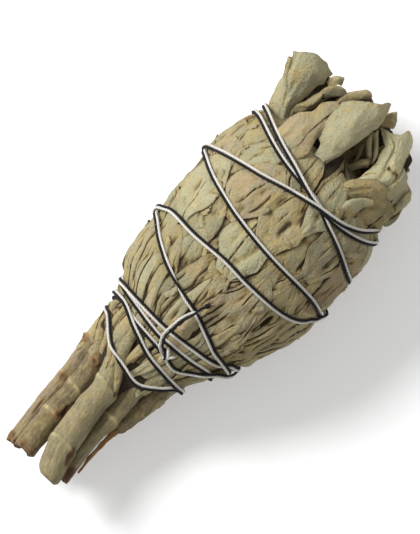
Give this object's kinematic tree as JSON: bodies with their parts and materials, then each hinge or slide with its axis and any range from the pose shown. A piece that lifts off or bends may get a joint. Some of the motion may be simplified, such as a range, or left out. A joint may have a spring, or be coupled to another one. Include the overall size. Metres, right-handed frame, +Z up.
{
  "type": "sage bunch",
  "caption": "Tied bunch of dried white sage: packed leaves with a loose crown, woody cut stems, and string wound round it.",
  "frame": {"origin": "middle of the bunch's box, on the surface that it lies on", "axes": "+X from the cut stem ends to the leaf tips, +Z up from the surface, +Y to the left of someone who looks along +X"},
  "size_m": [0.1268, 0.0536, 0.0451],
  "materials": {
    "leaf": "dry grey-green leaf with a matt velvety face",
    "stem": "dry greenish stem, matt",
    "splinter": "torn orange-brown stem, matt",
    "white_thread": "twisted cotton",
    "black_thread": "twisted cotton"
  },
  "bodies": {
    "root": {"leaves": "leaf", "stem_front": "stem", "stem_left": "stem", "stem_far_left": "stem", "stem_behind": "stem", "stem_right": "stem", "stem_far_right": "stem", "stem_under_right": "stem", "stem_under_left": "stem", "stem_splinter": "splinter", "thread_white": "white_thread", "thread_black": "black_thread"}
  },
  "joints": []
}
